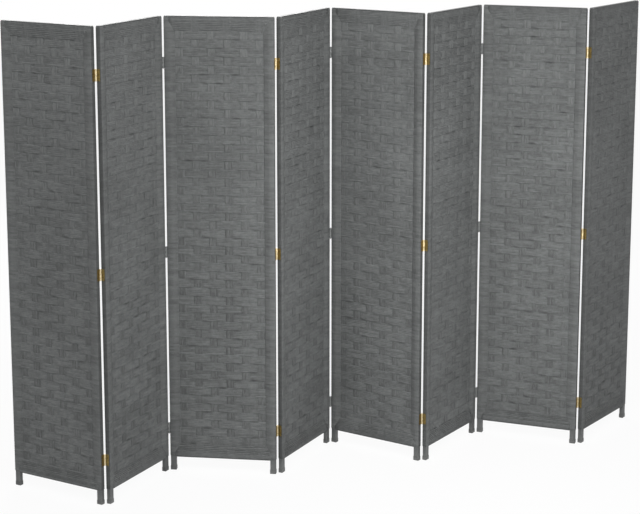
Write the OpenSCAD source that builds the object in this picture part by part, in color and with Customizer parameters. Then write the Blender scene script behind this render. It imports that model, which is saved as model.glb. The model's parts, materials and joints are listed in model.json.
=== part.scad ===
// Folding screen: eight panels of woven paper cord on wooden frames, joined by
// seven rows of three butt hinges. It stands in a zigzag, folds into a flat
// stack and opens into a straight wall. All sizes are in millimetres.

/* [Panel] */
// Width of one panel, over the cord wrapped round its stiles
panel_w = 400; // [340:1:480]
// Height of the screen, from the floor to its top edge
panel_h = 1700; // [1300:1:1900]
// Bare leg under the bottom rail
leg_h = 52; // [35:1:90]
// Inside angle at each joint as the screen stands, from left to right
rest_fold = [85, 109, 109, 82, 88, 101, 103]; // [70:1:140]

/* [Frame] */
// Width of a stile, seen from the front
stile_w = 21; // [16:0.5:30]
// Depth of a stile and of the rails, from front to back
stile_t = 15; // [11:0.5:20]
// Radius of the stile's long edges
stile_edge_r = 1.2; // [0.5:0.1:2.5]
// Height of the top and bottom rails
rail_h = 20; // [14:0.5:30]
// Strip of rail left bare outside the weave
rail_reveal = 4; // [2:0.5:6]
// Length of the tenon on each end of a rail
tenon_l = 9; // [5:0.5:11]
// Depth of the tenon, from front to back
tenon_t = 6; // [4:0.5:8]
// Height of the tenon
tenon_h = 12; // [8:0.5:13]

/* [Weave] */
// Number of upright warp bands in a panel
warp_count = 6; // [4:1:7]
// Width of a warp band
warp_w = 27; // [18:0.5:29]
// Thickness of a warp band
warp_t = 3; // [2:0.1:4]
// Depth of the slot in each rail that holds the end of a warp band
warp_seat = 6; // [3:0.5:9]
// Number of weft rows in a panel
weft_rows = 51; // [30:1:60]
// Thickness of a weft row
weft_t = 3; // [2:0.1:4]
// Thickness of the cord wrapped round the stiles and rails
wrap_t = 1.2; // [1:0.1:2.5]
// Bevel on the outer corners of the wrap
wrap_bevel = 1.2; // [0.8:0.1:1.7]

/* [Feet] */
// Height of a foot cap
foot_h = 16; // [10:0.5:24]
// Wall of a foot cap
foot_wall = 1; // [0.8:0.1:1.6]
// Thickness of a foot cap under the stile
foot_base = 4; // [2.5:0.5:6]
// Radius of the foot cap's lower edges
foot_edge_r = 3.5; // [1:0.5:5]

/* [Hinges] */
// Height of a hinge leaf
leaf_h = 42; // [38:1:60]
// Reach of a leaf, from the pin's axis to its free edge
leaf_w = 15.5; // [13:0.5:17]
// Thickness of a leaf
leaf_t = 1.1; // [0.9:0.1:1.4]
// Radius of the leaf's free corners
leaf_corner_r = 2; // [0.5:0.5:4]
// Outer diameter of the knuckles, which is also the gap between two panels
knuckle_d = 5.2; // [4.8:0.1:7]
// Number of knuckles on a hinge
knuckle_count = 5; // [3:2:7]
// Diameter of the hinge pin
pin_d = 2.4; // [2:0.1:2.8]
// Diameter of the pin's riveted heads
pin_head_d = 3.8; // [3:0.1:4.4]
// Height of the pin's riveted heads
pin_head_h = 0.8; // [0.6:0.1:1.2]
// Distance that the pin's axis stands proud of the panel's face
pin_proud = 1; // [0.8:0.1:2.5]
// Height of the lowest hinge's middle above the floor
hinge_low = 164; // [110:1:240]
// Height of the middle hinge's middle above the floor
hinge_mid = 836; // [600:1:900]
// Distance from the highest hinge's middle down from the top edge
hinge_top = 168; // [110:1:240]

/* [Screws] */
// Distance between the two screws of a leaf
screw_pitch = 25; // [20:1:30]
// Diameter of the screw's shank
screw_d = 2.8; // [2:0.1:3.2]
// Diameter of the screw's countersunk head
screw_head_d = 5; // [4.4:0.1:5.6]
// Length of the screw
screw_l = 14; // [9:0.5:17]

/* [Clearances] */
// Gap between the weave and the wood or the bands that it covers
weave_clear = 0.2; // [0.1:0.05:0.4]
// Gap round a tenon in its mortise and a band in its slot
joint_clear = 0.15; // [0.1:0.05:0.3]
// Gap between a foot cap and the stile inside it
foot_clear = 0.1; // [0.05:0.05:0.2]
// Gap on the radius between the pin and the knuckles
pin_clear = 0.05; // [0.03:0.01:0.09]
// Gap between two knuckles, and between a knuckle and the other leaf
knuckle_gap = 0.3; // [0.2:0.05:0.5]
// Gap between a leaf and the cord under it
leaf_seat = 0.2; // [0.1:0.05:0.3]
// Gap round a screw
screw_clear = 0.1; // [0.05:0.05:0.2]

/* [Hidden] */
panel_count = len(rest_fold) + 1;
joint_count = len(rest_fold);
HINGE_Z = [hinge_low, hinge_mid, panel_h - hinge_top];

// Half sizes of a wrapped stile and of a panel, seen from above
stile_x = panel_w / 2 - wrap_t - weave_clear - stile_w / 2;
face_y = stile_t / 2 + weave_clear + wrap_t;
inner_x = stile_x - stile_w / 2 - weave_clear - wrap_t;

// The woven field lies between the two rails
field_bottom = leg_h + rail_h;
field_top = panel_h - rail_h;
row_h = (field_top - field_bottom) / weft_rows;
band_pitch = 2 * inner_x / warp_count;

// A weft row runs straight from the crest over one band to the crest under the
// next, and just clears the edges of the bands on its way
weft_over_edge = warp_t / 2 + weave_clear + weft_t / 2;
weft_crest = weft_over_edge / (1 - warp_w / band_pitch);

// The hinge pin stands in the middle of the gap, proud of one face
pin_x = panel_w / 2 + knuckle_d / 2;
pin_y = face_y + pin_proud;
knuckle_pitch = leaf_h / knuckle_count;
leaf_x = panel_w / 2 + leaf_seat;
screw_y = pin_y - (leaf_w + knuckle_d / 2) / 2;
countersink_h = (screw_head_d - screw_d) / 2;

FINE = 48;
SMALL = 24;
EPS = 0.01;

PAINT = [0.27, 0.28, 0.28];
FIBRE = [0.41, 0.42, 0.42];
BAND = [0.36, 0.37, 0.37];
RUBBER = [0.20, 0.21, 0.21];
BRASS = [0.72, 0.58, 0.30];
PAINTED_BRASS = [0.40, 0.40, 0.38];

// A joint's pin is behind the panels (1) where the fold points at the viewer,
// and in front of them (-1) where it points away
function pin_side(joint) = joint % 2 == 1 ? 1 : -1;

function spin(angle, p) = [
    p.x * cos(angle) - p.y * sin(angle),
    p.x * sin(angle) + p.y * cos(angle)
];

// Direction of each panel from above, with the first one along X
function chain_heading(panel) = panel == 1 ? 0
    : chain_heading(panel - 1) + pin_side(panel - 1) * (180 - rest_fold[panel - 2]);

// Middle of each panel and place of each pin, with the first panel at zero
function chain_middle(panel) = panel == 1 ? [0, 0]
    : chain_pin(panel - 1)
        + spin(chain_heading(panel), [pin_x, -pin_side(panel - 1) * pin_y]);
function chain_pin(joint) = chain_middle(joint)
    + spin(chain_heading(joint), [pin_x, pin_side(joint) * pin_y]);

// The line from the screen's first edge to its last one is turned onto X
chain_last = chain_middle(panel_count)
    + spin(chain_heading(panel_count), [panel_w / 2, 0]);
chain_angle = atan2(chain_last.y, chain_last.x + panel_w / 2);
function heading(panel) = chain_heading(panel) - chain_angle;

// Outline of a panel from above, which sets the footprint and its middle
panel_outline = [
    for (sx = [-1, 1], sy = [-1, 1], along = [0, 1])
        [sx * (panel_w / 2 - along * wrap_bevel), sy * (face_y - (1 - along) * wrap_bevel)]
];
footprint = [
    for (panel = [1:panel_count], p = panel_outline)
        spin(-chain_angle, chain_middle(panel)) + spin(heading(panel), p)
];
footprint_x = [for (p = footprint) p.x];
footprint_y = [for (p = footprint) p.y];
footprint_middle = [
    (min(footprint_x) + max(footprint_x)) / 2,
    (min(footprint_y) + max(footprint_y)) / 2
];

function middle(panel) = spin(-chain_angle, chain_middle(panel)) - footprint_middle;
function pin(joint) = spin(-chain_angle, chain_pin(joint)) - footprint_middle;

// Upright bands of the warp, counted from the left
function band_x(band) = (band - (warp_count - 1) / 2) * band_pitch;

// Middle line of one weft row from above: over one band and under the next
function weft_line(row) = concat(
    [[-inner_x - wrap_t / 2, 0]],
    [
        for (band = [0:warp_count - 1])
            [band_x(band), ((row + band) % 2 == 0 ? -1 : 1) * weft_crest]
    ],
    [[inner_x + wrap_t / 2, 0]]
);

function reversed(list) = [for (i = [len(list) - 1:-1:0]) list[i]];

// Places what is drawn for a panel that stands on X at zero
module on_panel(panel) {
    translate([middle(panel).x, middle(panel).y, 0])
        rotate([0, 0, heading(panel)])
            children();
}

// Rectangle about the middle with round corners
module round_rect(w, h, r) {
    square([w - 2 * r, h], center = true);
    square([w, h - 2 * r], center = true);
    for (sx = [-1, 1], sy = [-1, 1])
        translate([sx * (w / 2 - r), sy * (h / 2 - r)])
            circle(r = r, $fn = SMALL);
}

// Rectangle from zero up with only its two lower corners round
module round_foot(w, h, r) {
    translate([-w / 2, r])
        square([w, h - r]);
    translate([-w / 2 + r, 0])
        square([w - 2 * r, h]);
    for (sx = [-1, 1])
        translate([sx * (w / 2 - r), r])
            circle(r = r, $fn = SMALL);
}

// Puts copies on the edges of a panel that carry a hinge, facing outward.
// $edge is 1 on the right edge and -1 on the left one, $pin_side the pin's side
module at_hinged_edges(panel) {
    if (panel < panel_count) {
        let ($edge = 1, $pin_side = pin_side(panel))
            children();
    }
    if (panel > 1) {
        let ($edge = -1, $pin_side = pin_side(panel - 1))
            children();
    }
}

// Axes of the screws of one edge, drawn outward along X from the wood's side
module at_screws(edge, side) {
    for (z = HINGE_Z, step = [-1, 1])
        translate([edge * leaf_x, side * screw_y, z + step * screw_pitch / 2])
            rotate([0, edge * 90, 0])
                children();
}

module tenon_block(clear) {
    cube(
        [2 * (inner_x + wrap_t + weave_clear + tenon_l + clear),
            tenon_t + 2 * clear, tenon_h + 2 * clear],
        center = true
    );
}

module stiles(panel) {
    color(PAINT)
        difference() {
            for (side = [-1, 1])
                translate([side * stile_x, 0, foot_base])
                    linear_extrude(panel_h - foot_base)
                        round_rect(stile_w, stile_t, stile_edge_r);
            for (z = [leg_h + rail_h / 2, panel_h - rail_h / 2])
                translate([0, 0, z])
                    tenon_block(joint_clear);
            at_hinged_edges(panel)
                at_screws($edge, $pin_side)
                    translate([0, 0, -screw_l])
                        cylinder(d = screw_d + 2 * screw_clear, h = screw_l, $fn = SMALL);
        }
}

// One rail with its tenons, about its middle; the slots open towards inward
module rail(inward) {
    shoulder = 2 * (stile_x - stile_w / 2);
    slot = warp_seat + joint_clear;
    difference() {
        union() {
            cube([shoulder, stile_t, rail_h], center = true);
            tenon_block(0);
        }
        for (band = [0:warp_count - 1])
            translate([band_x(band), 0, inward * (rail_h / 2 - slot / 2 + EPS / 2)])
                cube(
                    [warp_w + 2 * joint_clear, warp_t + 2 * joint_clear, slot + EPS],
                    center = true
                );
    }
}

module rails() {
    color(PAINT) {
        translate([0, 0, leg_h + rail_h / 2])
            rail(1);
        translate([0, 0, panel_h - rail_h / 2])
            rail(-1);
    }
}

module warp_bands() {
    color(BAND)
        for (band = [0:warp_count - 1])
            translate([band_x(band) - warp_w / 2, -warp_t / 2, field_bottom - warp_seat])
                cube([warp_w, warp_t, field_top - field_bottom + 2 * warp_seat]);
}

// Cord wound round one stile, seen from above
module stile_wrap_outline() {
    outer_x = stile_w / 2 + weave_clear + wrap_t;
    cut = wrap_bevel;
    difference() {
        polygon([
            [-outer_x, -face_y + cut], [-outer_x + cut, -face_y],
            [outer_x - cut, -face_y], [outer_x, -face_y + cut],
            [outer_x, face_y - cut], [outer_x - cut, face_y],
            [-outer_x + cut, face_y], [-outer_x, face_y - cut]
        ]);
        square([stile_w + 2 * weave_clear, stile_t + 2 * weave_clear], center = true);
    }
}

// Cord over the front and back of a rail, up to its bare strip
module rail_cover(z) {
    half_w = inner_x + wrap_bevel;
    for (side = [-1, 1])
        translate([-half_w, side * (face_y - wrap_t / 2) - wrap_t / 2, z])
            cube([2 * half_w, wrap_t, rail_h - rail_reveal]);
}

// Way of a rail through the wrap to the stiles
module rail_way(z) {
    translate([-stile_x, -stile_t / 2 - weave_clear, z])
        cube([2 * stile_x, stile_t + 2 * weave_clear, rail_h]);
}

module weft_row(row) {
    line = weft_line(row);
    translate([0, 0, field_bottom + row * row_h])
        linear_extrude(row_h)
            polygon(concat(
                [for (p = line) [p.x, p.y - weft_t / 2]],
                [for (p = reversed(line)) [p.x, p.y + weft_t / 2]]
            ));
}

module weave(panel) {
    wrap_h = panel_h - leg_h - 2 * rail_reveal;
    screw_gap = screw_d + 2 * screw_clear;
    color(FIBRE)
        difference() {
            union() {
                for (side = [-1, 1])
                    translate([side * stile_x, 0, leg_h + rail_reveal])
                        linear_extrude(wrap_h)
                            stile_wrap_outline();
                rail_cover(leg_h + rail_reveal);
                rail_cover(field_top);
                for (row = [0:weft_rows - 1])
                    weft_row(row);
            }
            rail_way(leg_h);
            rail_way(field_top);
            at_hinged_edges(panel)
                at_screws($edge, $pin_side)
                    cube([screw_gap, screw_gap, 3 * wrap_t], center = true);
        }
}

// Soft cap pushed over the lower end of a stile, with round lower edges
module foot() {
    w = stile_w + 2 * (foot_clear + foot_wall);
    t = stile_t + 2 * (foot_clear + foot_wall);
    difference() {
        intersection() {
            rotate([90, 0, 0])
                linear_extrude(t, center = true)
                    round_foot(w, foot_h, foot_edge_r);
            rotate([90, 0, 90])
                linear_extrude(w, center = true)
                    round_foot(t, foot_h, foot_edge_r);
            linear_extrude(foot_h)
                round_rect(w, t, stile_edge_r + foot_wall);
        }
        translate([0, 0, foot_base])
            linear_extrude(foot_h)
                round_rect(
                    stile_w + 2 * foot_clear,
                    stile_t + 2 * foot_clear,
                    stile_edge_r
                );
    }
}

module feet() {
    color(RUBBER)
        for (side = [-1, 1])
            translate([side * stile_x, 0, 0])
                foot();
}

// Height of the bottom of one knuckle above the middle of its hinge
function knuckle_z(k) = (k - knuckle_count / 2) * knuckle_pitch;

// One leaf with the knuckles whose number has this parity. The pin is at zero,
// and the leaf lies on the face at -X and runs from the pin towards -Y
module leaf(parity) {
    plate_x = leaf_seat - knuckle_d / 2;
    difference() {
        union() {
            difference() {
                translate([plate_x, 0, 0])
                    rotate([90, 0, 90])
                        linear_extrude(leaf_t)
                            leaf_outline();
                for (k = [0:knuckle_count - 1])
                    if (k % 2 != parity)
                        translate([0, 0, knuckle_z(k) - knuckle_gap / 2])
                            cylinder(
                                d = knuckle_d + 2 * knuckle_gap,
                                h = knuckle_pitch + knuckle_gap,
                                $fn = FINE
                            );
            }
            for (k = [0:knuckle_count - 1])
                if (k % 2 == parity)
                    translate([0, 0, knuckle_z(k) + knuckle_gap / 2])
                        cylinder(
                            d = knuckle_d - 2 * leaf_seat,
                            h = knuckle_pitch - knuckle_gap,
                            $fn = FINE
                        );
        }
        translate([0, 0, -leaf_h])
            cylinder(d = pin_d + 2 * pin_clear, h = 2 * leaf_h, $fn = FINE);
        for (step = [-1, 1])
            translate([plate_x, screw_y - pin_y, step * screw_pitch / 2])
                rotate([0, 90, 0])
                    screw_hole();
    }
}

// Outline of a leaf: X here runs from the free edge to the pin, Y is up
module leaf_outline() {
    bottom = -leaf_h / 2 + knuckle_gap / 2;
    height = leaf_h - knuckle_gap;
    difference() {
        translate([-leaf_w, bottom])
            square([leaf_w, height]);
        for (up = [0, 1])
            mirror([0, up])
                translate([-leaf_w, bottom])
                    difference() {
                        translate([-leaf_corner_r, -leaf_corner_r])
                            square(2 * leaf_corner_r);
                        translate([leaf_corner_r, leaf_corner_r])
                            circle(r = leaf_corner_r, $fn = SMALL);
                    }
    }
}

// Countersunk hole through a leaf, which the screw fills but for its clearance
module screw_hole() {
    translate([0, 0, -leaf_t])
        cylinder(d = screw_d + 2 * screw_clear, h = 3 * leaf_t, $fn = SMALL);
    translate([0, 0, leaf_t - countersink_h])
        cylinder(
            d1 = screw_d + 2 * screw_clear,
            d2 = screw_head_d + 2 * screw_clear,
            h = countersink_h,
            $fn = SMALL
        );
    translate([0, 0, leaf_t - EPS])
        cylinder(d = screw_head_d + 2 * screw_clear, h = leaf_t, $fn = SMALL);
}

// Countersunk screw: Z at zero is the leaf's seat, and the head looks along +Z
module screw() {
    translate([0, 0, leaf_t - countersink_h])
        cylinder(d1 = screw_d, d2 = screw_head_d, h = countersink_h, $fn = SMALL);
    translate([0, 0, leaf_t - screw_l])
        cylinder(d = screw_d, h = screw_l - countersink_h, $fn = SMALL);
}

// Pin riveted at both ends, about the middle of its hinge
module hinge_pin() {
    reach = leaf_h / 2 + leaf_seat / 2;
    translate([0, 0, -reach])
        cylinder(d = pin_d, h = 2 * reach, $fn = FINE);
    for (up = [0, 1])
        mirror([0, 0, up])
            translate([0, 0, reach - EPS])
                cylinder(d1 = pin_head_d, d2 = pin_d, h = pin_head_h, $fn = FINE);
}

// Leaves and screws on one edge of a panel, drawn for the right edge
module edge_leaves(side, parity) {
    for (z = HINGE_Z)
        translate([pin_x, side * pin_y, z])
            mirror([0, side < 0 ? 1 : 0, 0])
                leaf(parity);
    at_screws(1, side)
        screw();
}

// The hinges whose knuckles look at the viewer are painted over with the frame
function hinge_colour(joint) = pin_side(joint) == 1 ? BRASS : PAINTED_BRASS;

// The left leaf of a hinge sits on its panel's right edge and holds the pin
module left_leaves(joint) {
    on_panel(joint)
        color(hinge_colour(joint)) {
            edge_leaves(pin_side(joint), 0);
            for (z = HINGE_Z)
                translate([pin_x, pin_side(joint) * pin_y, z])
                    hinge_pin();
        }
}

// The right leaf sits on the left edge of the next panel
module right_leaves(joint) {
    on_panel(joint + 1)
        color(hinge_colour(joint))
            mirror([1, 0, 0])
                edge_leaves(pin_side(joint), 1);
}

for (panel = [1:panel_count]) {
    on_panel(panel) stiles(panel);
    on_panel(panel) rails();
    on_panel(panel) warp_bands();
    on_panel(panel) weave(panel);
    on_panel(panel) feet();
}
for (joint = [1:joint_count]) {
    left_leaves(joint);
    right_leaves(joint);
}
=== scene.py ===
"""Looks of the folding screen: panels woven of grey paper cord on painted frames, joined by butt
hinges. Every piece is worked out for a panel that stands on X at zero, with its front towards -Y, and
is then turned and moved to where the frame's joints put that panel."""

import json
import math

import bpy
import numpy as np
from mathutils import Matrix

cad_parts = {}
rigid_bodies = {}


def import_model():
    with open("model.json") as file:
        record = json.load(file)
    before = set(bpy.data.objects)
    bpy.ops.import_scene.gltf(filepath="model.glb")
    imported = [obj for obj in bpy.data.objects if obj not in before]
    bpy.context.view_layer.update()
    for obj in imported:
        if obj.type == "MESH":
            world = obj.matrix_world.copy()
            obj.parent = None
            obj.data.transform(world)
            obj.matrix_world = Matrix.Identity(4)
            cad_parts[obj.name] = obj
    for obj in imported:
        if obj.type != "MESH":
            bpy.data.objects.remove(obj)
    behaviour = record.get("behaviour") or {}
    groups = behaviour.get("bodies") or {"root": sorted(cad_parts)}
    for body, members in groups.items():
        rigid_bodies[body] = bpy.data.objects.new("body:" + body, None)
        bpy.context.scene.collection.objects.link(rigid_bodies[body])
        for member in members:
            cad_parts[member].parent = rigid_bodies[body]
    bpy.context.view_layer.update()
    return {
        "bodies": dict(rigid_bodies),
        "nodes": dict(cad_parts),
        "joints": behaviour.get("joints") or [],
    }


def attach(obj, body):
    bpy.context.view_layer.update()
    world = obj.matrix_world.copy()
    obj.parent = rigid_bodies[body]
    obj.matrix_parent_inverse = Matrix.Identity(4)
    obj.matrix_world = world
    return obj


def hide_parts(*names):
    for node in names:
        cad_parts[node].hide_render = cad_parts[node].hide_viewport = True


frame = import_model()

# Sizes of the solids, in metres
MM = 0.001
PANEL_COUNT = len(frame["bodies"])
PANEL_W = 400 * MM
PANEL_H = 1700 * MM
LEG_H = 52 * MM
STILE_W = 21 * MM
STILE_T = 15 * MM
RAIL_H = 20 * MM
RAIL_REVEAL = 4 * MM
WRAP_T = 1.2 * MM
WRAP_CLEAR = 0.2 * MM
KNUCKLE_D = 5.2 * MM
PIN_PROUD = 1 * MM
WARP_COUNT = 6
WARP_W = 27 * MM
WEFT_ROWS = 51

# Sizes that follow from them
FACE_Y = STILE_T / 2 + WRAP_CLEAR + WRAP_T
WRAP_X = STILE_W / 2 + WRAP_CLEAR + WRAP_T
STILE_X = PANEL_W / 2 - WRAP_X
INNER_X = STILE_X - WRAP_X
PIN_X = PANEL_W / 2 + KNUCKLE_D / 2
PIN_Y = FACE_Y + PIN_PROUD
FIELD_BOTTOM = LEG_H + RAIL_H
FIELD_TOP = PANEL_H - RAIL_H
ROW_H = (FIELD_TOP - FIELD_BOTTOM) / WEFT_ROWS
BAND_PITCH = 2 * INNER_X / WARP_COUNT

# Weft: flattened cords, five to a row. SPREAD is the least and the most that a cord's thickness or
# width may be, as a share of the even one, and TURNS the most waves that a cord's sag has along it.
CORDS_PER_ROW = 5
CORD_PITCH = ROW_H / CORDS_PER_ROW
CORD_SIDES = 6
WEFT_HALF_T = 1.5 * MM
WEFT_T_SPREAD = (0.90, 1.06)
WEFT_H_SPREAD = (1.22, 1.38)
WEFT_SWING = 1.25 * MM
WEFT_SAG = 0.42 * MM
WEFT_LIFT = 0.5 * WEFT_SAG
WEFT_TURNS = 15
WEFT_STEPS_PER_BAND = 5
ROW_SWELL = 0.02

# Slits where two rows gape, painted with shade. The painted shade on a gaping edge is the gape to the
# power NARROWING, and FLANK is the share of it that the faces beside the edge get.
GAP_SHARE = 0.4
GAP_LEAST = 0.3
GAP_SKEW = 1.5
GAP_DEPTH = 1.0 * MM
GAP_HEIGHT = 0.35 * MM
GAP_FLANK = 0.6
GAP_NARROWING = 1.2

# Warp: thinner flattened cords, six to a band
CORDS_PER_BAND = 6
WARP_PITCH = WARP_W / CORDS_PER_BAND
WARP_HALF_T = 1.0 * MM
WARP_T_SPREAD = (0.92, 1.0)
WARP_W_SPREAD = (1.20, 1.35)
WARP_SWING = 0.9 * MM
WARP_SAG = 0.15 * MM
WARP_TURNS = 30
WARP_STEPS_PER_ROW = 3

# Wrap: one rib for each turn of cord round a stile, and a slope down to the woven field. The first and the
# last turn are cut short by the wrap's ends, and LAST_TURN is what is left of them in the pattern.
WRAP_CORNER_R = 1.6 * MM
# Painted shade on the outer edges, which face another panel
EDGE_SHADE = 0.5
RIB_DEPTH = 0.5 * MM
RIB_UNEVENNESS = 0.12 * MM
RIB_STEPS = 3
LAST_TURN = 0.4
SLOPE_END_X = WARP_W / 2 + (WARP_COUNT - 1) / 2 * BAND_PITCH
SLOPE_START = 7 * MM
SLOPE_END_Y = 2.6 * MM
SLOPE_STEPS = 6
ROW_DIVE = 1.1 * MM
# Painted shade on the rows that dive down the slope
DIVE_SHADE = 0.13

# Cords over a rail, the ones on the slope below it, and the ends of the bands over both. The cords run on
# for RUN_ON past the start of the stiles' slopes.
RAIL_CORDS = 3
RAIL_CORD_HALF_T = 0.7 * MM
RAIL_CORD_OVERLAP = 1.08
RAIL_CORD_RUN_ON = 1 * MM
RAIL_CORD_STATIONS = 25
RAIL_TURNS = 12
RAIL_SAG = 0.1 * MM
RAIL_LIFT = 0.2 * MM
SLOPE_CORD_Y = (7.3 * MM, 6.1 * MM, 4.8 * MM, 3.6 * MM, 2.6 * MM)
SLOPE_CORD_HALF_T = 0.9 * MM
BAND_END_HALF_T = 0.6 * MM
BAND_END_REACH = 14 * MM
BAND_END_SUNK = 0.5 * MM
BAND_END_STATIONS = 17

# Paper cord: patterns along a cord and round it, and the height from which the bands are painted paler, a
# painted light that grows upwards. TONE_APART sets cords so far apart in the noise that no two look alike.
PLIES = 2
CREASES_PER_TURN = 9.0
CREASES_PER_METRE = 160.0
FADES_PER_METRE = 40.0
CLOUDS_PER_METRE = 5.0
TONE_APART = 50.0
PAINTED_LIGHT_FROM = 700 * MM
# The near black of the painted shade, and the most of it that is laid over a cord's colour
PAINTED_SHADE_COLOUR = (0.012, 0.0125, 0.0125, 1)
PAINTED_SHADE_MOST = 0.95
TWIST_SHARE = 0.07
TWIST_RELIEF = 0.5
CREASE_RELIEF = 1.2

# Sprayed paint: scales of its noises, and how high the dust lies on the legs
GRAIN_SCALE = 900.0
PORE_SCALE = 2600.0
PORE_DULLING = 0.5
PORE_RELIEF = 0.4
PAINT_CLOUD_SCALE = 14.0
DUST_TOP = 45 * MM
DUST_MOST = 0.30

# Handled metal: scales of its noises, how far the marks are drawn out, and how far the painted highlight
# on the knuckles reaches and how much stain it clears
MARK_SCALE = 2500.0
MARK_STRETCH = 0.05
STAIN_SCALE = 210.0
PIT_SCALE = 1500.0
PIT_RELIEF = 0.6
HIGHLIGHT_REACH = 1 * MM
HIGHLIGHT_CLEARS = 0.35
METAL_RELIEF = 0.06 * MM

# The photograph's camera as fitted to the corners of the panels: focal length and shift in pixels of an
# image 640 wide, and place in metres
IMAGE_W_PX = 640
FOCAL_PX = 1800
SHIFT_PX = -70
SENSOR_MM = 36
EYE = (-2.1826, -6.1849, 2.3097)
EYE_DIP = math.radians(10.860)
EYE_HEADING = math.radians(-18.566)

# Floor and even light, and the number that the random draws of the panels start from
FLOOR_REACH = 14
FLOOR_WHITE = 0.93
EVEN_LIGHT = 0.35
FIRST_SEED = 100


def turned(angle, xy):
    """The points xy turned about zero by angle: x cos - y sin, x sin + y cos."""
    c, s = math.cos(angle), math.sin(angle)
    xy = np.asarray(xy, float)
    return np.stack([xy[..., 0] * c - xy[..., 1] * s, xy[..., 0] * s + xy[..., 1] * c], -1)


def panel_places():
    """Heading and middle of each panel. A joint's pin is at (PIN_X, side * PIN_Y) of the panel before it
    and at (-PIN_X, side * PIN_Y) of the panel after it, where side is minus its axis. Its high limit is
    the angle left to a straight line. The first two pins give the heading of the second panel."""
    pins = [np.array(joint["pos_m"][:2]) for joint in frame["joints"]]
    sides = [-joint["axis"][2] for joint in frame["joints"]]
    left = [math.radians(joint["range_deg"][1]) for joint in frame["joints"]]
    across = pins[1] - pins[0]
    within = (2 * PIN_X, (sides[1] - sides[0]) * PIN_Y)
    second = math.atan2(across[1], across[0]) - math.atan2(within[1], within[0])
    headings = [second - sides[0] * left[0]]
    for side, rest in zip(sides, left):
        headings.append(headings[-1] + side * rest)
    middles = [pins[0] - turned(headings[0], (PIN_X, sides[0] * PIN_Y))]
    for heading, pin, side in zip(headings[1:], pins, sides):
        middles.append(pin - turned(heading, (-PIN_X, side * PIN_Y)))
    return list(zip(headings, middles))


PLACES = panel_places()


def on_panel(panel, points):
    """Points of a panel that stands on X at zero, turned by its heading and moved to its middle."""
    heading, middle = PLACES[panel - 1]
    xy = turned(heading, points[..., :2]) + middle
    return np.concatenate([xy, points[..., 2:]], -1)


def band_x(band):
    """Middle of an upright band, counted from the left."""
    return (band - (WARP_COUNT - 1) / 2) * BAND_PITCH


def flat_wave(phase):
    """A cosine with flattened crests: c (3 - c c) / 2, where c is the cosine of phase."""
    c = np.cos(phase)
    return c * (3 - c * c) / 2


def smooth(t):
    """Goes from 0 to 1 as t does, level at both ends: t t (3 - 2 t)."""
    t = np.clip(t, 0, 1)
    return t * t * (3 - 2 * t)


def slow_waves(rng, shape, along, most_turns):
    """Smooth random waves between -1 and 1, one for each cord: the mean of three sines of along, which
    runs from 0 to 1, each with a random number of turns from 2 to most_turns and a random phase."""
    total = np.zeros(shape + (len(along),))
    for _ in range(3):
        turns = rng.uniform(2, most_turns, shape)[..., None]
        phase = rng.uniform(0, 2 * math.pi, shape)[..., None]
        total += np.sin(turns * along * 2 * math.pi + phase)
    return total / 3


class Strands:
    """Gathers swept surfaces for one piece. Its mesh gets a UV map, strand, in metres along the cord and
    turns round it, and two attributes: tone, one value for each cord, and a painted shade, 1 where the
    colour is painted near black as shade."""

    def __init__(self):
        """Starts with nothing gathered."""
        self.points, self.faces, self.uv, self.tone, self.gap = [], [], [], [], []
        self.size = 0

    def sweep(self, rings, along, round_, tone, gap=0.0, closed=False, crossways=False):
        """Joins rings, an array of surface, station, place on the ring and xyz, by quads. along has one
        value for each station, and round_ one for each place and one more. Flat caps close the ends,
        or the last station joins the first if closed. crossways swaps the two UV values, for a cord that
        runs round the rings."""
        surfaces, stations, places = rings.shape[:3]
        base = self.size + np.arange(surfaces)[:, None, None] * stations * places
        here = np.arange(stations if closed else stations - 1)[None, :, None]
        there = (here + 1) % stations
        place = np.arange(places)[None, None, :]
        beside = (place + 1) % places
        corners = [(here, place, 0), (here, beside, 1), (there, beside, 1), (there, place, 0)]
        quads = np.stack([base + s * places + p for s, p, _ in corners], -1)
        self.faces.append(quads.reshape(-1, 4))
        uv = [np.stack(np.broadcast_arrays(along[s], round_[place + step], base + s + place)[:2], -1)
              for s, _, step in corners]
        uv = np.stack(uv, -2).reshape(-1, 2)
        self.uv.append(uv[:, ::-1] if crossways else uv)
        if not closed:
            ring = np.arange(places)
            caps = np.concatenate([base[:, 0] + ring[::-1], base[:, 0] + (stations - 1) * places + ring])
            self.faces.append(caps)
            self.uv.append(np.zeros((caps.size, 2)))
        self.points.append(rings.reshape(-1, 3))
        self.tone.append(np.broadcast_to(tone, rings.shape[:3]).reshape(-1))
        self.gap.append(np.broadcast_to(gap, rings.shape[:3]).reshape(-1))
        self.size += surfaces * stations * places

    def piece(self, name, material):
        """Makes one mesh object of what was gathered."""
        loops = np.concatenate([faces.reshape(-1) for faces in self.faces])
        sizes = np.concatenate([np.full(len(faces), faces.shape[1]) for faces in self.faces])
        starts = np.concatenate([[0], np.cumsum(sizes)[:-1]])
        mesh = bpy.data.meshes.new(name)
        mesh.vertices.add(self.size)
        mesh.vertices.foreach_set("co", np.concatenate(self.points).astype(np.float32).reshape(-1))
        mesh.loops.add(len(loops))
        mesh.loops.foreach_set("vertex_index", loops.astype(np.int32))
        mesh.polygons.add(len(sizes))
        mesh.polygons.foreach_set("loop_start", starts.astype(np.int32))
        mesh.polygons.foreach_set("use_smooth", np.ones(len(sizes), bool))
        uv = np.concatenate(self.uv).astype(np.float32)
        mesh.uv_layers.new(name="strand").data.foreach_set("uv", uv.reshape(-1))
        for label, values in (("tone", self.tone), ("gap", self.gap)):
            layer = mesh.attributes.new(label, "FLOAT", "POINT")
            layer.data.foreach_set("value", np.concatenate(values).astype(np.float32))
        mesh.update(calc_edges=True)
        mesh.validate()
        mesh.materials.append(material)
        made = bpy.data.objects.new(name, mesh)
        bpy.context.scene.collection.objects.link(made)
        return made


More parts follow.
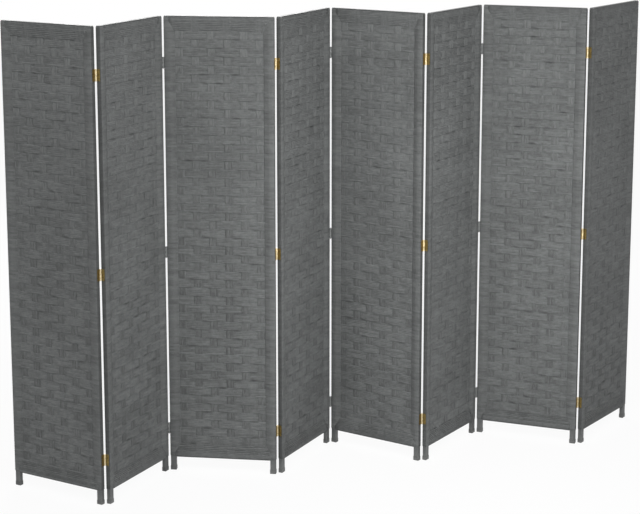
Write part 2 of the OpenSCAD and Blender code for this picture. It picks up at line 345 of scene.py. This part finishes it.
def cord_rings(path, across, rise, half_t, half_h):
    """Rings of flattened cords: path + across half_t cos(t) + rise half_h sin(t), where t goes once round
    from a quarter turn, so that the UV seam lies in the crease between two cords. across, rise and the
    way along the path are at right angles, in right-handed order."""
    t = math.pi / 2 + 2 * math.pi * np.arange(CORD_SIDES) / CORD_SIDES
    return (path[..., None, :]
            + across[..., None, :] * (half_t[..., None] * np.cos(t))[..., None]
            + rise[..., None, :] * (half_h[..., None] * np.sin(t))[..., None])


ROUND_CORD = np.arange(CORD_SIDES + 1) / CORD_SIDES


def level_cords(path, half_t, half_h):
    """Rings of cords whose path runs along X: they rise along Z, and across is Z crossed with the way
    along the path."""
    way = np.gradient(path, axis=-2)
    rise = np.zeros_like(path)
    rise[..., 2] = 1
    across = np.cross(rise, way)
    across /= np.linalg.norm(across, axis=-1, keepdims=True)
    return cord_rings(path, across, rise, half_t, half_h)


def row_gaps(rng, x):
    """How far each edge between two rows gapes at x, from 0 to 1: between two bands it is the square of a
    cosine, 1 in the middle and 0 at the bands, times a strength, for the share GAP_SHARE of places picked
    at random. The strength is a number from GAP_LEAST to 1 to the power GAP_SKEW, so most gape little.
    Below zero the cords beside it are drawn to the front, above zero to the back."""
    place = (x + INNER_X) / BAND_PITCH - 0.5
    between = np.clip(np.floor(place).astype(int), 0, WARP_COUNT - 2)
    inside = (place > 0) & (place < WARP_COUNT - 1)
    lens = np.cos(math.pi * np.clip(place - between - 0.5, -0.5, 0.5)) ** 2 * inside
    picked = rng.uniform(0, 1, (WEFT_ROWS + 1, WARP_COUNT - 1)) < GAP_SHARE
    strength = picked * rng.uniform(GAP_LEAST, 1, picked.shape) ** GAP_SKEW
    drawn_to = np.where(rng.uniform(0, 1, picked.shape) < 0.5, -1, 1)
    return (strength * drawn_to)[:, between] * lens


def add_weft(strands, panel, rng):
    """The cords of the weft rows. From above, a cord runs along X and its Y is a flat wave that changes
    side from one band to the next and from one row to the next. A row is a little wider at its crests
    than between the bands, and where two rows gape, the cords at their edges draw back and are painted
    with shade."""
    x = np.linspace(-INNER_X, INNER_X, WARP_COUNT * WEFT_STEPS_PER_BAND + 1)
    along = (x + INNER_X) / (2 * INNER_X)
    shape = (WEFT_ROWS, CORDS_PER_ROW)
    row = np.arange(WEFT_ROWS)[:, None, None]
    cord = np.arange(CORDS_PER_ROW)[None, :, None]
    gaps = row_gaps(rng, x)
    top_gap = np.where(cord == CORDS_PER_ROW - 1, gaps[1:, None, :], 0)
    low_gap = np.where(cord == 0, gaps[:-1, None, :], 0)
    wave = flat_wave(math.pi * (x - band_x(0)) / BAND_PITCH)
    side = np.where(row % 2 == 0, -1.0, 1.0)
    sag = WEFT_SAG * slow_waves(rng, shape, along, WEFT_TURNS)
    y = side * wave * WEFT_SWING + sag + GAP_DEPTH * (top_gap + low_gap)
    lift = (cord - (CORDS_PER_ROW - 1) / 2) * CORD_PITCH * (1 + ROW_SWELL * np.abs(wave))
    lift = lift + WEFT_LIFT * slow_waves(rng, shape, along, WEFT_TURNS)
    lift = lift + GAP_HEIGHT * (np.abs(low_gap) - np.abs(top_gap))
    z = FIELD_BOTTOM + (row + 0.5) * ROW_H + lift
    path = np.stack(np.broadcast_arrays(x, y, z), -1).reshape(-1, len(x), 3)
    count = len(path)
    half_t = WEFT_HALF_T * rng.uniform(*WEFT_T_SPREAD, (count, 1)) + 0 * path[..., 0]
    half_h = CORD_PITCH / 2 * rng.uniform(*WEFT_H_SPREAD, (count, 1)) + 0 * path[..., 0]
    # Painted shade: the crease at a gaping edge is painted near black, and the faces beside it get a share
    # of it
    gap = np.zeros(path.shape[:2] + (CORD_SIDES,))
    for edge_gap, edge in ((top_gap, 0), (low_gap, CORD_SIDES // 2)):
        edge_gap = np.broadcast_to(np.abs(edge_gap), y.shape).reshape(-1, len(x))
        for place, share in ((edge, 1), (edge - 1, GAP_FLANK), (edge + 1, GAP_FLANK)):
            gap[..., place % CORD_SIDES] += share * edge_gap ** GAP_NARROWING
    rings = on_panel(panel, level_cords(path, half_t, half_h))
    strands.sweep(rings, x, ROUND_CORD, rng.uniform(0, 1, (count, 1, 1)), gap)


def add_upright(strands, panel, rng, path, along, half_t):
    """Cords whose path runs along Z. They are a little wider along X than WARP_PITCH, so that they overlap,
    and about half_t thick to each side of the path."""
    across = np.zeros_like(path)
    across[..., 1] = -1
    rise = np.zeros_like(path)
    rise[..., 0] = 1
    count = len(path)
    thick = half_t * rng.uniform(*WARP_T_SPREAD, (count, 1)) + 0 * path[..., 0]
    wide = WARP_PITCH / 2 * rng.uniform(*WARP_W_SPREAD, (count, 1)) + 0 * path[..., 0]
    rings = on_panel(panel, cord_rings(path, across, rise, thick, wide))
    strands.sweep(rings, along, ROUND_CORD, rng.uniform(0, 1, (count, 1, 1)))


def add_warp(strands, panel, rng):
    """The upright cords of the bands. Their Y is a flat wave of the height, on the other side from the
    weft at each crossing."""
    z = np.linspace(FIELD_BOTTOM, FIELD_TOP, WEFT_ROWS * WARP_STEPS_PER_ROW + 1)
    along = (z - FIELD_BOTTOM) / (FIELD_TOP - FIELD_BOTTOM)
    shape = (WARP_COUNT, CORDS_PER_BAND)
    band = np.arange(WARP_COUNT)[:, None, None]
    cord = np.arange(CORDS_PER_BAND)[None, :, None]
    wave = flat_wave(math.pi * ((z - FIELD_BOTTOM) / ROW_H - 0.5))
    side = np.where(band % 2 == 0, 1.0, -1.0)
    y = side * wave * WARP_SWING + WARP_SAG * slow_waves(rng, shape, along, WARP_TURNS)
    x = band_x(band) + (cord - (CORDS_PER_BAND - 1) / 2) * WARP_PITCH
    x = x + WARP_SAG * slow_waves(rng, shape, along, WARP_TURNS)
    path = np.stack(np.broadcast_arrays(x, y, z), -1).reshape(-1, len(z), 3)
    add_upright(strands, panel, rng, path, z, WARP_HALF_T)


def wrap_outline():
    """Outline of the right stile's wrap from above, anticlockwise about the stile's middle, and the way
    in from each point. The outer corners are round. On the inner side each face slopes to the field: from
    SLOPE_START to SLOPE_END_X, Y falls from FACE_Y to SLOPE_END_Y, half evenly and half by the smooth
    step."""
    angle = np.array([0, 0.25, 0.5]) * math.pi
    out = np.stack([np.cos(angle), np.sin(angle)], -1)
    corner = np.array([WRAP_X, FACE_Y]) - WRAP_CORNER_R + WRAP_CORNER_R * out
    t = np.linspace(0, 1, SLOPE_STEPS)
    slope_x = -SLOPE_START - (STILE_X - SLOPE_START - SLOPE_END_X) * t
    slope_y = FACE_Y + (SLOPE_END_Y - FACE_Y) * (t + smooth(t)) / 2
    half = np.concatenate([corner, np.stack([slope_x, slope_y], -1)])
    half_in = np.concatenate([-out, np.stack([0 * t, 0 * t - 1], -1)])
    to_front = np.array([1, -1])
    points = np.concatenate([half, half[::-1] * to_front])
    inward = np.concatenate([half_in, half_in[::-1] * to_front])
    return points, inward


def row_dives(outline, turn, side):
    """How far each turn has dived at each point of the outline, from 0 to 1. It grows evenly down the
    slope, for the rows that lie on the other face at the outermost band: every second row, the other ones
    on the other stile and on the other face. Between the rows it follows the flat wave."""
    down = (-SLOPE_START - outline[:, 0]) / (STILE_X - SLOPE_START - SLOPE_END_X)
    wave = flat_wave(math.pi * (turn / CORDS_PER_ROW - 0.5))
    face = np.sign(outline[:, 1])
    return np.clip(down, 0, 1) * (1 - side * face * wave[:, None]) / 2


def add_wraps(strands, panel, rng):
    """The cord wound round both stiles. The outline goes up the stile in ribs, one for each turn of cord,
    level with the cords of the weft. Between two turns the surface lies RIB_DEPTH deeper. On the slope
    every second row dives by ROW_DIVE and is painted darker, a painted shade. An inner wall closes the
    jacket. The edges that face another panel are painted dark, a painted shade."""
    bottom, top = LEG_H + RAIL_REVEAL, PANEL_H - RAIL_REVEAL
    first = math.ceil((bottom - FIELD_BOTTOM) / CORD_PITCH)
    last = math.floor((top - FIELD_BOTTOM) / CORD_PITCH)
    step = np.arange(first * RIB_STEPS, last * RIB_STEPS + 1)
    z = np.concatenate([[bottom], FIELD_BOTTOM + step * CORD_PITCH / RIB_STEPS, [top]])
    turn = np.concatenate([[first - LAST_TURN], step / RIB_STEPS, [last + LAST_TURN]])
    crease = np.concatenate([[False], step % RIB_STEPS == 0, [False]])
    height = np.concatenate([z, [top, bottom]])
    along = np.concatenate([turn, turn[[-1, 0]]])
    outline, inward = wrap_outline()
    length = np.linalg.norm(np.diff(outline, axis=0, append=outline[:1]), axis=-1)
    round_ = np.concatenate([[0], np.cumsum(length)])
    # Painted shade on the outer edges that face another panel
    shade = np.where(outline[:, 0] > WRAP_X - WRAP_CORNER_R / 2, EDGE_SHADE, 0)
    deepest = WRAP_T + ROW_DIVE * (outline[:, 0] < -SLOPE_START)
    for side in (-1, 1):
        dive = row_dives(outline, along, side)
        depth = (RIB_DEPTH * crease + rng.uniform(0, RIB_UNEVENNESS, len(z)))[:, None]
        outer = outline + inward * (depth + ROW_DIVE * dive[:-2])[..., None]
        inner = outline + inward * deepest[:, None]
        xy = np.concatenate([outer, inner[None], inner[None]]) * [side, 1] + [side * STILE_X, 0]
        ring = np.concatenate([xy, np.broadcast_to(height[:, None, None], xy.shape[:2] + (1,))], -1)
        if side < 0:
            ring = ring[:, ::-1]
        tone = rng.uniform(0, 1, math.ceil(turn[-1]) - math.floor(turn[0]) + 1)
        tone = tone[np.floor(along - math.floor(turn[0])).astype(int)]
        rings = on_panel(panel, ring[None])
        # Painted shade: the outer edges, and the rows that dive on the slope
        edge = shade + DIVE_SHADE * dive
        edge = edge if side > 0 else edge[:, ::-1]
        strands.sweep(rings, along, round_, tone[None, :, None], edge, closed=True, crossways=True)


def add_band_ends(strands, panel, rng, rail_edge, up, face, parity):
    """Ends of the upright cords, for the bands that lie on this face at the last row. From the field they
    run up over the cords on the slope and then level to the bare strip. At the foot they lie sunk."""
    bands = [band for band in range(WARP_COUNT) if (1 if (band + parity) % 2 == 0 else -1) == face]
    slope_count = len(SLOPE_CORD_Y)
    reach = slope_count * CORD_PITCH + BAND_END_REACH
    stops = [0, *((np.arange(slope_count) + 0.5) * CORD_PITCH), reach]
    over = [y + SLOPE_CORD_HALF_T - BAND_END_HALF_T for y in SLOPE_CORD_Y]
    start = rail_edge - up * reach
    end = rail_edge + up * (RAIL_H - RAIL_REVEAL)
    z = np.linspace(min(start, end), max(start, end), BAND_END_STATIONS)
    y = np.interp(up * (rail_edge - z), stops, [FACE_Y - BAND_END_HALF_T, *over, WARP_SWING])
    y = face * (y - (0 if up > 0 else BAND_END_SUNK))
    middle = np.array([band_x(band) for band in bands])[:, None, None]
    x = middle + ((np.arange(CORDS_PER_BAND) - (CORDS_PER_BAND - 1) / 2) * WARP_PITCH)[None, :, None]
    path = np.stack(np.broadcast_arrays(x, y, z), -1).reshape(-1, len(z), 3)
    add_upright(strands, panel, rng, path, z, BAND_END_HALF_T)


def add_rail_covers(strands, panel, rng):
    """Level cords over the front and back of each rail, and more of them that slope to the woven field.
    Over them, at every second band, the ends of the upright cords run up the slope onto the rail. The
    slope cords under the top rail, which face the floor, are painted paler, a painted light against the
    shade they get."""
    half = STILE_X - SLOPE_START + RAIL_CORD_RUN_ON
    x = np.linspace(-half, half, RAIL_CORD_STATIONS)
    along = (x + half) / (2 * half)
    slope_count = len(SLOPE_CORD_Y)
    rail_pitch = (RAIL_H - RAIL_REVEAL) / RAIL_CORDS
    rail_cord_y = STILE_T / 2 + RAIL_CORD_HALF_T
    depth = np.concatenate([np.full(RAIL_CORDS, rail_cord_y), SLOPE_CORD_Y])[:, None]
    half_t = np.repeat([RAIL_CORD_HALF_T, SLOPE_CORD_HALF_T], [RAIL_CORDS, slope_count])[:, None]
    half_h = np.repeat([rail_pitch, CORD_PITCH], [RAIL_CORDS, slope_count])[:, None] / 2
    half_h = half_h * RAIL_CORD_OVERLAP
    for up in (-1, 1):
        rail_edge = FIELD_TOP if up > 0 else FIELD_BOTTOM
        parity = (WEFT_ROWS - 1) % 2 if up > 0 else 0
        on_rail = rail_edge + up * (np.arange(RAIL_CORDS) + 0.5) * rail_pitch
        on_slope = rail_edge - up * (np.arange(slope_count) + 0.5) * CORD_PITCH
        level = np.concatenate([on_rail, on_slope])[:, None]
        for face in (-1, 1):
            waves = slow_waves(rng, (len(level),), along, RAIL_TURNS)
            z = level + RAIL_LIFT * waves
            y = face * (depth + RAIL_SAG * waves)
            path = np.stack(np.broadcast_arrays(x[None, :], y, z), -1)
            thick = np.broadcast_to(half_t, path.shape[:2])
            high = np.broadcast_to(half_h, path.shape[:2])
            rings = on_panel(panel, level_cords(path, thick, high))
            tone = rng.uniform(0, 1, len(level))
            # Painted light: the slope cords under the top rail face the floor and are painted paler against
            # their shade
            if up > 0:
                tone[RAIL_CORDS:] = (tone[RAIL_CORDS:] + 1) / 2
            strands.sweep(rings, x, ROUND_CORD, tone[:, None, None])
            add_band_ends(strands, panel, rng, rail_edge, up, face, parity)


def weave_panel(panel, weft_cord, warp_cord, wrap_cord):
    """The three woven pieces of one panel, in place of the solids that stand for them."""
    rng = np.random.default_rng(FIRST_SEED + panel)
    body = f"panel_{panel}"
    weft = Strands()
    add_weft(weft, panel, rng)
    piece = weft.piece(f"{body}_weft_cords", weft_cord)
    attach(piece, body)
    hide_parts(f"{body}_weave")
    warp = Strands()
    add_warp(warp, panel, rng)
    piece = warp.piece(f"{body}_warp_cords", warp_cord)
    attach(piece, body)
    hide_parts(f"{body}_warp_bands")
    wraps = Strands()
    add_wraps(wraps, panel, rng)
    add_rail_covers(wraps, panel, rng)
    piece = wraps.piece(f"{body}_wrapped_cord", wrap_cord)
    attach(piece, body)
    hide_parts(f"{body}_weave")


class Nodes:
    """Short ways to add and join shader nodes."""

    def __init__(self, tree):
        """Works in this node tree."""
        self.tree = tree

    def feed(self, socket, value):
        """Links a socket into an input, or sets the input to a value."""
        if isinstance(value, bpy.types.NodeSocket):
            self.tree.links.new(value, socket)
        else:
            socket.default_value = value

    def add(self, kind, *inputs, output=0, **settings):
        """Adds a node, sets its properties, and feeds its inputs in order with values or sockets."""
        node = self.tree.nodes.new("ShaderNode" + kind)
        for name, value in settings.items():
            setattr(node, name, value)
        for socket, value in zip(node.inputs, inputs):
            self.feed(socket, value)
        return node.outputs[output]

    def parts(self, vector):
        """The three numbers of a vector."""
        node = self.tree.nodes.new("ShaderNodeSeparateXYZ")
        self.feed(node.inputs[0], vector)
        return tuple(node.outputs)

    def sum(self, a, b):
        """a + b."""
        return self.add("Math", a, b, operation="ADD")

    def times(self, a, b):
        """a b."""
        return self.add("Math", a, b, operation="MULTIPLY")

    def less(self, a, b):
        """a - b."""
        return self.add("Math", a, b, operation="SUBTRACT")

    def sine(self, a):
        """The sine of a, in radians."""
        return self.add("Math", a, operation="SINE")

    def span(self, value, low, high, to_low=0.0, to_high=1.0):
        """Carries value from between low and high to between to_low and to_high, clamped."""
        return self.add("MapRange", value, low, high, to_low, to_high)

    def blend(self, share, first, second):
        """Mixes two colours: all first where share is 0, all second where it is 1."""
        node = self.tree.nodes.new("ShaderNodeMix")
        node.data_type = "RGBA"
        self.feed(node.inputs["Factor"], share)
        self.feed(node.inputs[6], first)
        self.feed(node.inputs[7], second)
        return node.outputs[2]

    def noise(self, vector, scale, detail=3.0, roughness=0.55):
        """Noise between 0 and 1 at a vector times scale."""
        node = self.tree.nodes.new("ShaderNodeTexNoise")
        self.feed(node.inputs["Vector"], vector)
        self.feed(node.inputs["Scale"], scale)
        self.feed(node.inputs["Detail"], detail)
        self.feed(node.inputs["Roughness"], roughness)
        return node.outputs["Fac"]

    def bump(self, height, distance):
        """The normal bent by a height, which is distance metres where it is 1."""
        node = self.tree.nodes.new("ShaderNodeBump")
        self.feed(node.inputs["Height"], height)
        self.feed(node.inputs["Distance"], distance)
        return node.outputs["Normal"]


SURFACE = [("Colour", "Color"), ("Roughness", "Float"), ("Normal", "Vector")]


def new_group(name, inputs):
    """A shader node group with these inputs and the outputs of SURFACE, and its two ends."""
    group = bpy.data.node_groups.new(name, "ShaderNodeTree")
    for label, kind, value in inputs:
        socket = group.interface.new_socket(label, in_out="INPUT", socket_type="NodeSocket" + kind)
        socket.default_value = value
    for label, kind in SURFACE:
        group.interface.new_socket(label, in_out="OUTPUT", socket_type="NodeSocket" + kind)
    return group, group.nodes.new("NodeGroupInput").outputs, group.nodes.new("NodeGroupOutput").inputs


def paper_group():
    """Twisted paper cord. The helix is turns round the cord plus metres along it times twists per metre,
    and the twist is a sine of it for each ply; creases in the paper follow the same helix. The colour lies
    between Dark and Light by a share, the sum of the cord's tone, a slow fade along it, clouds over the
    panel, the creases and the twist, and it may be painted paler with height, a painted light from above.
    Where the mesh carries painted shade, the colour is painted near black: in the slits, on edges that face
    another panel and on the diving rows."""
    group, given, result = new_group("twisted_paper", [
        ("Dark", "Color", (0.1, 0.1, 0.1, 1)),
        ("Light", "Color", (0.2, 0.2, 0.2, 1)),
        ("Twists per metre", "Float", 110.0),
        ("Relief", "Float", 0.0003),
        ("Cord contrast", "Float", 0.5),
        ("Painted light upwards", "Float", 0.0),
    ])
    make = Nodes(group)
    along, around, _ = make.parts(make.add("UVMap", uv_map="strand"))
    tone = make.add("Attribute", attribute_name="tone", output=2)
    gap = make.add("Attribute", attribute_name="gap", output=2)
    helix = make.sum(around, make.times(along, given["Twists per metre"]))
    twist = make.sine(make.times(helix, 2 * math.pi * PLIES))
    own = make.times(tone, TONE_APART)
    crease_at = make.add("CombineXYZ", make.times(helix, CREASES_PER_TURN),
                         make.times(along, CREASES_PER_METRE), own)
    crease = make.noise(crease_at, 1.0, 4.0, 0.6)
    fade_at = make.add("CombineXYZ", make.times(along, FADES_PER_METRE), own, 0.0)
    fade = make.noise(fade_at, 1.0, 2.0)
    place = make.add("TexCoord", output=3)
    cloud = make.noise(place, CLOUDS_PER_METRE, 2.0)
    # Painted light: above a given height the colour is painted paler towards the top
    painted_light = make.span(make.parts(place)[2], PAINTED_LIGHT_FROM, PANEL_H, -0.3, 0.7)
    share = make.times(tone, given["Cord contrast"])
    share = make.sum(share, make.times(painted_light, given["Painted light upwards"]))
    share = make.sum(share, make.span(fade, 0.3, 0.7, -0.08, 0.58))
    share = make.sum(share, make.span(cloud, 0.35, 0.65, -0.1, 0.15))
    share = make.sum(share, make.span(crease, 0.3, 0.75, -0.22, 0.22))
    share = make.sum(share, make.times(twist, TWIST_SHARE))
    colour = make.blend(make.span(share, 0.0, 1.0), given["Dark"], given["Light"])
    # Painted shade: near black where the mesh says the surface lies in shade
    colour = make.blend(make.times(gap, PAINTED_SHADE_MOST), colour, PAINTED_SHADE_COLOUR)
    relief = make.sum(make.times(twist, TWIST_RELIEF), make.times(crease, CREASE_RELIEF))
    make.feed(result["Colour"], colour)
    make.feed(result["Roughness"], make.span(crease, 0.3, 0.7, 0.92, 0.70))
    make.feed(result["Normal"], make.bump(relief, given["Relief"]))
    return group


def paint_group():
    """Sprayed satin paint: pores and grain drawn out along the height, slow clouding, and a dusting
    towards the floor."""
    group, given, result = new_group("sprayed_paint", [
        ("Dark", "Color", (0.08, 0.08, 0.08, 1)),
        ("Light", "Color", (0.13, 0.13, 0.13, 1)),
        ("Grain stretch", "Float", 12.0),
        ("Relief", "Float", 0.0002),
        ("Dust", "Color", (0.3, 0.3, 0.29, 1)),
    ])
    make = Nodes(group)
    place = make.add("TexCoord", output=3)
    x, y, z = make.parts(place)
    squeezed = make.add("Math", z, given["Grain stretch"], operation="DIVIDE")
    drawn = make.add("CombineXYZ", x, y, squeezed)
    grain = make.noise(drawn, GRAIN_SCALE, 4.0, 0.6)
    pores = make.noise(drawn, PORE_SCALE, 2.0, 0.5)
    cloud = make.noise(place, PAINT_CLOUD_SCALE, 3.0)
    share = make.sum(make.span(grain, 0.35, 0.7, 0.0, 0.6), make.span(cloud, 0.3, 0.7, -0.1, 0.4))
    colour = make.blend(make.span(share, 0.0, 1.0), given["Dark"], given["Light"])
    dust = make.times(make.span(z, 0.0, DUST_TOP, DUST_MOST, 0.0), make.span(cloud, 0.35, 0.6))
    dulled = make.sum(cloud, make.times(pores, PORE_DULLING))
    make.feed(result["Colour"], make.blend(dust, colour, given["Dust"]))
    make.feed(result["Roughness"], make.span(dulled, 0.5, 1.0, 0.42, 0.66))
    relief = make.sum(grain, make.times(pores, PORE_RELIEF))
    make.feed(result["Normal"], make.bump(relief, given["Relief"]))
    return group


def worn_metal_group():
    """Stamped sheet metal that has been handled: rolling marks drawn out along the height, cloudy stains
    in a second colour, and small pits. The knuckles, close round the upright line through Pin X and
    Pin Y, carry a painted highlight: they are painted pale and some of their stain is cleared."""
    group, given, result = new_group("worn_metal", [
        ("Clean", "Color", (0.7, 0.5, 0.2, 1)),
        ("Knuckle highlight", "Color", (0.9, 0.8, 0.5, 1)),
        ("Stained", "Color", (0.2, 0.12, 0.04, 1)),
        ("Stain", "Float", 0.5),
        ("Smooth", "Float", 0.28),
        ("Rough", "Float", 0.55),
        ("Pin X", "Float", 0.0),
        ("Pin Y", "Float", 0.0),
    ])
    make = Nodes(group)
    place = make.add("TexCoord", output=3)
    x, y, z = make.parts(place)
    drawn = make.add("CombineXYZ", x, y, make.times(z, MARK_STRETCH))
    marks = make.noise(drawn, MARK_SCALE, 2.0)
    stain = make.noise(place, STAIN_SCALE, 4.0, 0.65)
    pits = make.noise(place, PIT_SCALE, 2.0)
    share = make.times(make.span(stain, 0.40, 0.68), given["Stain"])
    share = make.sum(share, make.span(marks, 0.4, 0.7, 0.0, 0.15))
    share = make.sum(share, make.span(pits, 0.62, 0.72, 0.0, 0.35))
    from_pin = make.add("CombineXYZ", make.less(x, given["Pin X"]), make.less(y, given["Pin Y"]), 0.0)
    from_pin = make.add("VectorMath", from_pin, operation="LENGTH", output=1)
    # Painted highlight: the knuckles, close round the pin, are painted pale and cleared of stain
    knuckle_highlight = make.span(from_pin, KNUCKLE_D / 2, KNUCKLE_D / 2 + HIGHLIGHT_REACH, 1.0, 0.0)
    share = make.span(make.less(share, make.times(knuckle_highlight, HIGHLIGHT_CLEARS)), 0.0, 1.0)
    clean_and_highlight = make.blend(knuckle_highlight, given["Clean"], given["Knuckle highlight"])
    make.feed(result["Colour"], make.blend(share, clean_and_highlight, given["Stained"]))
    make.feed(result["Roughness"], make.span(share, 0.0, 1.0, given["Smooth"], given["Rough"]))
    relief = make.sum(marks, make.times(pits, PIT_RELIEF))
    make.feed(result["Normal"], make.bump(relief, METAL_RELIEF))
    return group


def finish(name, group, values, metallic=0.0):
    """A material whose colour, roughness and normal come from the group with these values."""
    material = bpy.data.materials.new(name)
    material.use_nodes = True
    make = Nodes(material.node_tree)
    shader = material.node_tree.nodes["Principled BSDF"]
    look = material.node_tree.nodes.new("ShaderNodeGroup")
    look.node_tree = group
    for label, value in values.items():
        look.inputs[label].default_value = value
    shader.inputs["Metallic"].default_value = metallic
    make.feed(shader.inputs["Base Color"], look.outputs["Colour"])
    make.feed(shader.inputs["Roughness"], look.outputs["Roughness"])
    make.feed(shader.inputs["Normal"], look.outputs["Normal"])
    return material


def grey(level):
    """A grey with a trace of green and blue, as linear red, green, blue and alpha."""
    return (level * 0.97, level * 1.01, level, 1)


def hinge_metal(metal, joint):
    """Brass for the joints that stand forward, and grey paint for the ones that stand back."""
    # In both finishes the palest colour is the painted highlight on the knuckles
    pin_x, pin_y, _ = frame["joints"][joint - 1]["pos_m"]
    values = {"Pin X": pin_x, "Pin Y": pin_y}
    if joint % 2:
        values |= {"Clean": (0.29, 0.215, 0.075, 1), "Knuckle highlight": (0.92, 0.80, 0.53, 1)}
        values |= {"Stained": (0.075, 0.053, 0.020, 1), "Stain": 0.9}
        return finish(f"stained_brass_{joint}", metal, values, metallic=1.0)
    values |= {"Clean": grey(0.14), "Knuckle highlight": grey(0.20), "Stained": grey(0.08)}
    values |= {"Smooth": 0.38, "Rough": 0.6}
    return finish(f"painted_steel_{joint}", metal, values)


def dress_solids(painted_stile, painted_rail, foot_cap, hinge_metals):
    """Puts a material on each solid that stays."""
    for name, node in frame["nodes"].items():
        kind = name.split("_")[-1]
        if kind == "leaves":
            joint = int(name.split("_")[1])
            material = hinge_metals[joint - 1]
        else:
            material = {"stiles": painted_stile, "rails": painted_rail, "feet": foot_cap}.get(kind)
        if material:
            for slot in node.material_slots:
                slot.material = material


def build_screen():
    """All woven pieces and all materials."""
    paper = paper_group()
    paint = paint_group()
    metal = worn_metal_group()
    weft_cord = finish("weft_paper_cord", paper, {
        "Dark": grey(0.094), "Light": grey(0.168), "Cord contrast": 0.35})
    # The bands are darker than the weft, a painted shade on the squares, and painted paler upwards, a
    # painted light from above
    warp_cord = finish("warp_paper_cord", paper, {
        "Dark": grey(0.078), "Light": grey(0.160), "Twists per metre": 150.0, "Relief": 0.0002,
        "Cord contrast": 0.4, "Painted light upwards": 0.43})
    wrap_cord = finish("wrap_paper_cord", paper, {
        "Dark": grey(0.080), "Light": grey(0.150), "Relief": 0.00025, "Cord contrast": 0.5})
    painted_stile = finish("painted_stile", paint, {"Dark": grey(0.085), "Light": grey(0.125)})
    painted_rail = finish("painted_rail", paint, {
        "Dark": grey(0.050), "Light": grey(0.080), "Grain stretch": 1.0})
    foot_cap = finish("grey_rubber", paint, {
        "Dark": grey(0.06), "Light": grey(0.10), "Grain stretch": 1.0, "Relief": 0.00012})
    hinge_metals = [hinge_metal(metal, joint) for joint in range(1, PANEL_COUNT)]
    for panel in range(1, PANEL_COUNT + 1):
        weave_panel(panel, weft_cord, warp_cord, wrap_cord)
    dress_solids(painted_stile, painted_rail, foot_cap, hinge_metals)


def set_camera():
    """The camera of the photograph. Its lens is the focal length over the image's width, times the sensor's
    width. Turned up by a quarter turn it looks level, and the dip takes away from that."""
    data = bpy.data.cameras.new("camera")
    data.sensor_width = SENSOR_MM
    data.lens = FOCAL_PX / IMAGE_W_PX * SENSOR_MM
    data.shift_y = SHIFT_PX / IMAGE_W_PX
    eye = bpy.data.objects.new("camera", data)
    eye.location = EYE
    eye.rotation_euler = (math.pi / 2 - EYE_DIP, 0, EYE_HEADING)
    bpy.context.scene.collection.objects.link(eye)
    bpy.context.scene.camera = eye


def seen_white(make, lit, white, share):
    """What the camera, gloss and glass see of a shader: this share of white, and the rest of it lit.
    Other rays see it lit alone."""
    rays = make.tree.nodes.new("ShaderNodeLightPath").outputs
    seen = make.add("Math", rays["Is Camera Ray"], rays["Is Glossy Ray"], operation="MAXIMUM")
    seen = make.add("Math", seen, rays["Is Transmission Ray"], operation="MAXIMUM")
    return make.add("MixShader", make.times(seen, share), lit, white)


def lay_floor():
    """A wide pale floor that keeps the screen's shadow."""
    corners = [(x * FLOOR_REACH, y * FLOOR_REACH, 0) for x, y in ((-1, -1), (1, -1), (1, 1), (-1, 1))]
    mesh = bpy.data.meshes.new("floor")
    mesh.from_pydata(corners, [], [(0, 1, 2, 3)])
    floor = bpy.data.objects.new("floor", mesh)
    bpy.context.scene.collection.objects.link(floor)
    material = bpy.data.materials.new("pale_floor")
    material.use_nodes = True
    make = Nodes(material.node_tree)
    shader = material.node_tree.nodes["Principled BSDF"]
    shader.inputs["Base Color"].default_value = (0.80, 0.80, 0.81, 1)
    shader.inputs["Roughness"].default_value = 0.9
    shader.inputs["Specular IOR Level"].default_value = 0.0
    white = make.add("Emission", (1, 1, 1, 1), 1.0)
    output = material.node_tree.nodes["Material Output"]
    make.feed(output.inputs["Surface"], seen_white(make, shader.outputs[0], white, FLOOR_WHITE))
    mesh.materials.append(material)


def light_world():
    """Even light from all round, seen as white behind the screen."""
    world = bpy.data.worlds.new("studio")
    bpy.context.scene.world = world
    world.use_nodes = True
    make = Nodes(world.node_tree)
    lit = world.node_tree.nodes["Background"]
    lit.inputs["Color"].default_value = (1, 1, 1, 1)
    lit.inputs["Strength"].default_value = EVEN_LIGHT
    white = make.add("Background", (1, 1, 1, 1), 1.0)
    output = world.node_tree.nodes["World Output"]
    make.feed(output.inputs["Surface"], seen_white(make, lit.outputs[0], white, 1.0))


def soft_lamp(name, place, aim, size, power):
    """A square soft lamp at place that looks at aim. Its tilt is the arc cosine of how far the way to aim
    points down, over the way's length, and its heading is the way's own. The camera doesn't see the lamp."""
    data = bpy.data.lights.new(name, "AREA")
    data.shape = "SQUARE"
    data.size = size
    data.energy = power
    lamp = bpy.data.objects.new(name, data)
    lamp.visible_camera = False
    lamp.location = place
    way = np.array(aim, float) - np.array(place, float)
    lamp.rotation_euler = (math.acos(-way[2] / np.linalg.norm(way)), 0, math.atan2(-way[0], way[1]))
    bpy.context.scene.collection.objects.link(lamp)


build_screen()
set_camera()
lay_floor()
light_world()
soft_lamp("left_lamp", (-3.81, -3.20, 5.08), aim=(0, 0, 0.9), size=2.5, power=130)
soft_lamp("middle_lamp", (0.1, -2.6, 3.0), aim=(0.2, 0, 0.9), size=1.6, power=42)
soft_lamp("near_lamp", (0.2, -1.3, 1.0), aim=(0.3, 0, 0.9), size=1.0, power=10.2)
soft_lamp("back_lamp", (0.5, 4.5, 3.2), aim=(0, 0, 0.9), size=2.5, power=120)
bpy.context.scene.view_settings.view_transform = "Standard"
